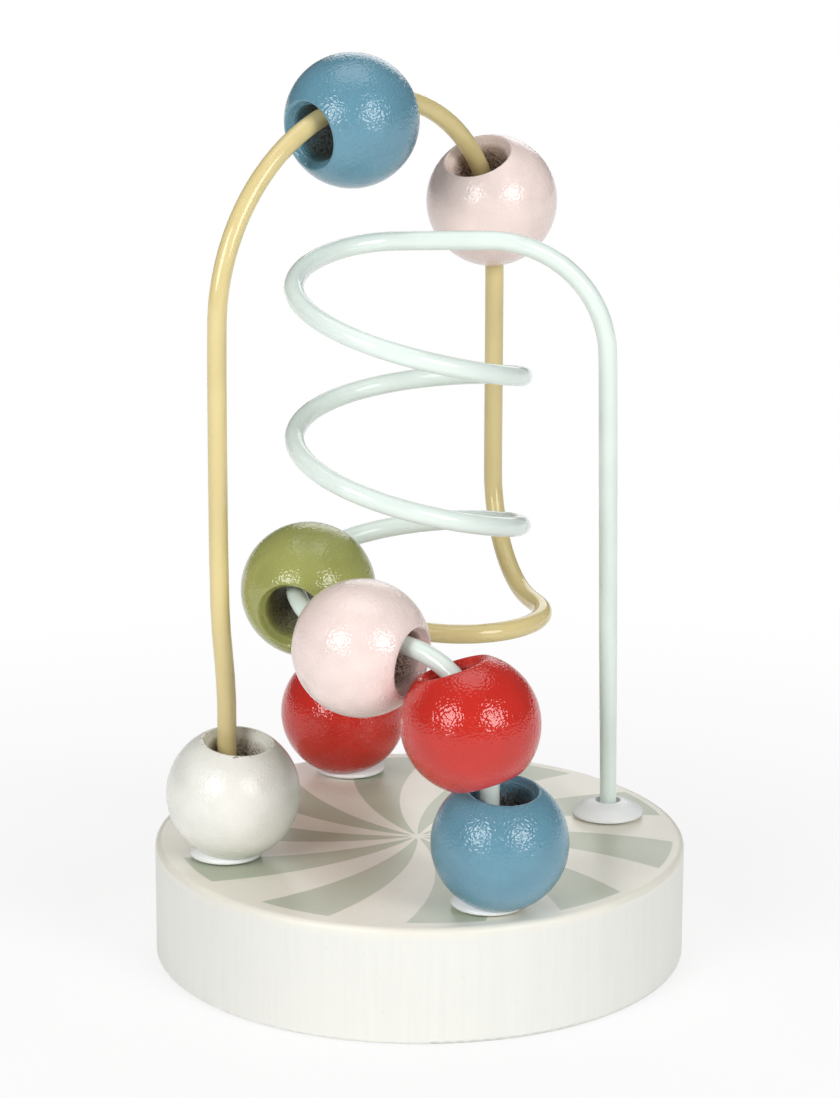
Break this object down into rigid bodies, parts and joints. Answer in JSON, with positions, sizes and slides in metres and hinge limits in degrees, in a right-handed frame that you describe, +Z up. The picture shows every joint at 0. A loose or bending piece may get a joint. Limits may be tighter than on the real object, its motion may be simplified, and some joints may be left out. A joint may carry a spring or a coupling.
{
  "type": "bead maze",
  "caption": "Round wooden base with two bent coated wires, an arch and a coil, along which drilled wooden beads are pushed.",
  "frame": {"origin": "centre of the base's underside", "axes": "+Z up, the front of the object faces -Y, +X to the viewer's right"},
  "size_m": [0.1, 0.1082, 0.1689],
  "materials": {
    "painted_base": "satin paint with a printed swirl",
    "cap_plastic": "gloss",
    "mustard_wire": "gloss coating",
    "mint_wire": "gloss coating",
    "cream_bead": "gloss paint",
    "blue_bead": "gloss paint",
    "pink_bead": "gloss paint",
    "red_bead": "gloss paint",
    "green_bead": "gloss paint"
  },
  "bodies": {
    "stand": {"base": "painted_base", "left_cap": "cap_plastic", "front_cap": "cap_plastic", "right_cap": "cap_plastic", "back_cap": "cap_plastic", "arch_wire": "mustard_wire", "coil_wire": "mint_wire"},
    "white_bead": {"white_bead": "cream_bead"},
    "blue_arch_bead": {"blue_arch_bead": "blue_bead"},
    "pink_arch_bead": {"pink_arch_bead": "pink_bead"},
    "red_back_bead": {"red_back_bead": "red_bead"},
    "blue_front_bead": {"blue_front_bead": "blue_bead"},
    "red_front_bead": {"red_front_bead": "red_bead"},
    "pink_coil_bead": {"pink_coil_bead": "pink_bead"},
    "green_bead": {"green_bead": "green_bead"}
  },
  "joints": [
    {"name": "green_bead_travel", "type": "hinge", "parent": "stand", "child": "green_bead", "pos_m": [0.00329, -0.01055, 0.07126], "axis": [0.1709, 0.2547, -0.9518], "range_deg": [0, 47.4]},
    {"name": "pink_coil_bead_travel", "type": "hinge", "parent": "stand", "child": "pink_coil_bead", "pos_m": [0.00129, -0.00706, 0.05959], "axis": [-0.0845, 0.3426, -0.9357], "range_deg": [0, 44.5]},
    {"name": "red_front_bead_travel", "type": "hinge", "parent": "stand", "child": "red_front_bead", "pos_m": [-0.00179, -0.03413, 0.05258], "axis": [-0.5288, -0.8402, 0.1202], "range_deg": [0, 72.06]},
    {"name": "blue_front_bead_travel", "type": "slide", "parent": "stand", "child": "blue_front_bead", "axis": [-0.1159, -0.1552, 0.981], "range_m": [0, 0.01615]},
    {"name": "blue_arch_bead_travel", "type": "hinge", "parent": "stand", "child": "blue_arch_bead", "pos_m": [-0.00898, 0.01426, 0.1216], "axis": [-0.6855, 0.7281, 0], "range_deg": [-38, 12]},
    {"name": "pink_arch_bead_travel", "type": "hinge", "parent": "stand", "child": "pink_arch_bead", "pos_m": [-0.00898, 0.01426, 0.12858], "axis": [-0.6855, 0.7281, 0], "range_deg": [-14, 25]},
    {"name": "white_bead_travel", "type": "slide", "parent": "stand", "child": "white_bead", "axis": [-0.0499, 0.02, 0.9986], "range_m": [0, 0.017]},
    {"name": "red_back_bead_travel", "type": "slide", "parent": "stand", "child": "red_back_bead", "axis": [0, 0, 1], "range_m": [0, 0.014]}
  ],
  "couplings": [
    {"joint": "pink_coil_bead_travel", "follows": "green_bead_travel", "ratio": 0.9355},
    {"joint": "red_front_bead_travel", "follows": "green_bead_travel", "ratio": 1.5162},
    {"joint": "blue_front_bead_travel", "follows": "green_bead_travel", "m_per_rad": 0.019382}
  ]
}
